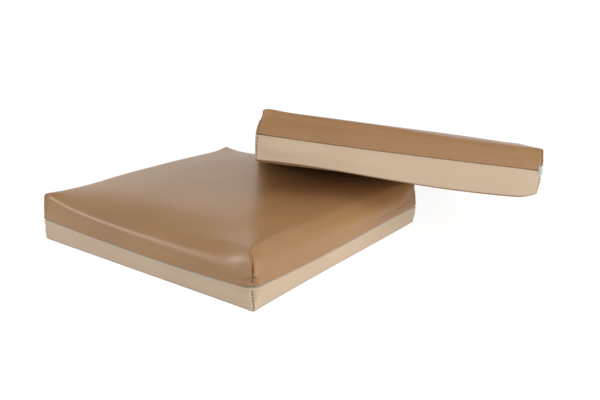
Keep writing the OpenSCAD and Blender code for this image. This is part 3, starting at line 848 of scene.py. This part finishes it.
def zip_tab_mesh(name, look):
    """A strip round the front right corner, tented over the zip's end and tucked under both covers."""
    _, waist_in, radius = waist_line(look)
    right = (STEP_SIDE == RIGHT_SIDE) & (CORNER == FRONT_RIGHT) & (CORNER_DIST < TAB_END)
    order = np.arange(SEAMS[FRONT_RIGHT] - TAB_LEAD_STEPS, np.nonzero(right)[0][-1] + 1)
    outer, inner = [], []
    for k in np.linspace(-1, 1, TAB_STEPS):
        inset = waist_in + mix(TAB_EDGE, -TAB_TENT * OPENING * fade(TAB_END), 1 - abs(k))
        z = ZIP_Z + k * (ZIP_HALF + TAB_TUCK)
        outer.append(ring(inset, z, radius))
        inner.append(ring(inset + TAB_THICK, z, radius))
    return strip_mesh(name, outer + inner[::-1], order)


# The strip of tape behind the zip's back end
BACKING_SET = 5.5 * MM
BACKING_LONG = 18 * MM


def zip_backing_mesh(name, look):
    """A flat strip behind the zip's back end, where the covers draw together."""
    _, waist_in, radius = waist_line(look)
    right = (STEP_SIDE == RIGHT_SIDE) & (CORNER == BACK_RIGHT) & (CORNER_DIST < BACKING_LONG)
    half = ZIP_HALF + TAB_TUCK
    section = ((0, -half), (0, half), (TAB_THICK, half), (TAB_THICK, -half))
    rails = [ring(waist_in + BACKING_SET + inset, ZIP_Z + rise, radius) for inset, rise in section]
    return strip_mesh(name, rails, np.nonzero(right)[0])


# Foam: its distance from the covers at the sides, top and floor, its soft edges, corners and crown
FOAM_SET = 10 * MM
FOAM_DROP = 7 * MM
FOAM_LOW = 4 * MM
FOAM_SOFT = 14 * MM
FOAM_CORNER = 20 * MM
FOAM_CROWN = 4 * MM
FOAM_ROWS = 9


def foam_mesh(name, look):
    """A foam block with softened edges that fills the covers."""
    high = by_side(look["edge"]) - FOAM_DROP
    corner_in = by_corner(look["ear_in"]) * fade(by_corner(look["ear_reach"]))
    base = FOAM_SET + np.maximum(by_side(look["edge_in"]), corner_in)
    rows = []
    for a in np.linspace(-math.pi / 2, math.pi / 2, FOAM_ROWS):
        level = FOAM_LOW + FOAM_SOFT if a < 0 else high - FOAM_SOFT
        rows.append(ring(base + FOAM_SOFT * (1 - math.cos(a)), level + FOAM_SOFT * math.sin(a), FOAM_CORNER))
    poles = [(0, 0, FOAM_LOW), (0, 0, EDGE - FOAM_DROP + FOAM_CROWN)]
    south = FOAM_ROWS * RING
    north = south + 1
    last = south - RING
    faces = band_faces(FOAM_ROWS, RING)
    faces += [(south, (i + 1) % RING, i) for i in range(RING)]
    faces += [(north, last + i, last + (i + 1) % RING) for i in range(RING)]
    return new_mesh(name, np.vstack(rows + [poles]), faces)


def make_cushion(which):
    """All of a cushion but its zip. Gives back its padded pieces."""
    look = LOOKS[which]
    padded = {}
    for part, material, slot in (("top", TAN, "tan_vinyl"), ("bottom", BEIGE, "beige_vinyl")):
        cover, seams = make_cover(which, part)
        soften(cover)
        padded[part] = finish_piece(cover, which, material, slot, f"{which}_{part}_cover")
        thread = thread_mesh(f"{which}_{part}_thread", seams, STITCH_PITCH[part])
        add_piece(thread, which, THREAD, "thread", f"{which}_{part}_corner_stitches")
    add_piece(seam_tape_mesh(f"{which}_seam_tape", look), which, TAPE, "tape", f"{which}_waist_seam_tape")
    add_piece(zip_tab_mesh(f"{which}_zip_end_tab", look), which, TAPE, "tape")
    add_piece(zip_backing_mesh(f"{which}_zip_end_backing", look), which, TAPE, "tape")
    foam = foam_mesh(f"{which}_foam_block", look)
    padded["foam"] = add_piece(foam, which, FOAM, "foam", f"{which}_foam_core")
    return padded


cushions = {which: make_cushion(which) for which in LOOKS}

RAY_TOP = 1.0


def rest_on(obj, below):
    """Presses a soft piece flat where it would sink into what it rests on, or into the floor."""
    co = vertex_array(obj.data)
    points = [v.co for v in below.data.vertices]
    tree = BVHTree.FromPolygons(points, [p.vertices for p in below.data.polygons])
    for i, (x, y, z) in enumerate(co):
        hit = tree.ray_cast(Vector((x, y, RAY_TOP)), Vector((0, 0, -1)))[0]
        floor = hit.z + CLEAR if hit else 0.0
        co[i, 2] = max(z, floor, 0.0)
    set_vertices(obj.data, co)


rest_on(cushions["upper"]["bottom"], cushions["lower"]["top"])

# The zips show their CAD solids
ZIP_MATERIALS = {
    "zip_tape_top": TAPE, "zip_tape_bottom": TAPE, "zip_teeth_top": NYLON, "zip_teeth_bottom": NYLON,
    "zip_top_stops": METAL, "zip_bottom_stop": METAL, "zip_slider": METAL, "zip_pull": METAL,
}
for which in LOOKS:
    for part, material in ZIP_MATERIALS.items():
        node = frame["nodes"][f"{which}_{part}"]
        node.data.materials.clear()
        node.data.materials.append(material)


# Stage, light and camera
FLOOR_HALF = 6.0
FLOOR_COLOUR = (0.9, 0.9, 0.9, 1)
FLOOR_ROUGHNESS = 0.9
FLOOR_GLOW = 0.8
FLOOR_WHITE = 1.15

# The world: the heights of a direction between which its light and its look change, and their strengths
LIGHT_BAND = (0.15, 0.7)
LIGHT_LEVELS = (0.3, 0.62)
LOOK_BAND = (0.46, 0.9)
LOOK_LEVELS = (1.0, 0.35)

# Low and wide lamps stay out of the gloss, where they would burn out the vinyl
LAMPS = {
    "key": {"place": (1.9, 0.5, 0.4), "target": (0.1, 0, 0), "size": 1.6, "watts": 14, "glossy": False},
    "fill": {"place": (1.9, 0.0, 0.42), "target": (0.1, 0, 0), "size": 1.6, "watts": 9, "glossy": False},
    "left": {"place": (-1.6, -1.2, 0.65), "target": (0, 0, 0), "size": 0.7, "watts": 10, "glossy": True},
    "front": {"place": (0.5, -1.0, 1.5), "target": (0.1, 0, 0), "size": 1.0, "watts": 4, "glossy": False},
}

# The camera that the photo's corners and edges give, its angles in degrees
CAMERA_PLACE = (0.6853, -0.7739, 0.3711)
CAMERA_YAW = 126.15
CAMERA_DOWN = 17.34
CAMERA_ROLL = 0.43
LENS = 42.58
SENSOR = 36
CLIP_START = 0.01


def larger(nodes, links, a, b):
    """The larger of two values."""
    node = nodes.new("ShaderNodeMath")
    node.operation = "MAXIMUM"
    links.new(a, node.inputs[0])
    links.new(b, node.inputs[1])
    return node.outputs[0]


def white_to_sight(nodes, links):
    """1 for rays that see the background, by sight, in gloss or through glass."""
    rays = nodes.new("ShaderNodeLightPath").outputs
    either = larger(nodes, links, rays["Is Camera Ray"], rays["Is Glossy Ray"])
    return larger(nodes, links, either, rays["Is Transmission Ray"])


def make_floor():
    """A pale floor that keeps the shadow and otherwise looks white."""
    h = FLOOR_HALF
    mesh = new_mesh("floor", [(-h, -h, 0), (h, -h, 0), (h, h, 0), (-h, h, 0)], [(0, 1, 2, 3)])
    floor = add_object("floor", mesh)
    material, nodes, links, shader = new_material("floor_white")
    shader.inputs["Base Color"].default_value = FLOOR_COLOUR
    shader.inputs["Roughness"].default_value = FLOOR_ROUGHNESS
    glow = nodes.new("ShaderNodeEmission")
    glow.inputs["Strength"].default_value = FLOOR_WHITE
    share = nodes.new("ShaderNodeMath")
    share.operation = "MULTIPLY"
    share.inputs[1].default_value = FLOOR_GLOW
    both = nodes.new("ShaderNodeMixShader")
    links.new(white_to_sight(nodes, links), share.inputs[0])
    links.new(share.outputs[0], both.inputs[0])
    links.new(shader.outputs[0], both.inputs[1])
    links.new(glow.outputs[0], both.inputs[2])
    links.new(both.outputs[0], nodes["Material Output"].inputs["Surface"])
    mesh.materials.append(material)


def make_world():
    """A light that grows overhead, seen as a white backdrop under a dim ceiling."""
    world = bpy.data.worlds.new("studio")
    bpy.context.scene.world = world
    world.use_nodes = True
    nodes, links = world.node_tree.nodes, world.node_tree.links
    direction = nodes.new("ShaderNodeTexCoord")
    parts = nodes.new("ShaderNodeSeparateXYZ")
    links.new(direction.outputs["Generated"], parts.inputs[0])
    strength = nodes.new("ShaderNodeMix")
    links.new(white_to_sight(nodes, links), strength.inputs["Factor"])
    for name, band, levels in (("A", LIGHT_BAND, LIGHT_LEVELS), ("B", LOOK_BAND, LOOK_LEVELS)):
        level = map_range(nodes, links, parts.outputs["Z"], band, levels)
        level.interpolation_type = "SMOOTHSTEP"
        links.new(level.outputs["Result"], strength.inputs[name])
    sky = nodes["Background"]
    sky.inputs["Color"].default_value = (1, 1, 1, 1)
    links.new(strength.outputs["Result"], sky.inputs["Strength"])


def add_lamp(name, place, target, size, watts, glossy):
    """A round lamp that shines at a target."""
    light = bpy.data.lights.new(name, "AREA")
    light.shape = "DISK"
    light.size = size
    light.energy = watts
    lamp = add_object(name, light)
    lamp.location = place
    lamp.visible_glossy = glossy
    lamp.rotation_euler = (Vector(target) - Vector(place)).to_track_quat("-Z", "Y").to_euler()


def make_camera():
    data = bpy.data.cameras.new("camera")
    data.sensor_width = SENSOR
    data.lens = LENS
    data.clip_start = CLIP_START
    camera = add_object("camera", data)
    camera.matrix_world = (Matrix.Translation(CAMERA_PLACE)
                           @ Matrix.Rotation(math.radians(CAMERA_YAW - 90), 4, "Z")
                           @ Matrix.Rotation(math.radians(90 - CAMERA_DOWN), 4, "X")
                           @ Matrix.Rotation(math.radians(CAMERA_ROLL), 4, "Z"))
    bpy.context.scene.camera = camera


make_floor()
make_world()
for name, lamp in LAMPS.items():
    add_lamp(name, **lamp)
make_camera()
bpy.context.scene.view_settings.view_transform = "Standard"
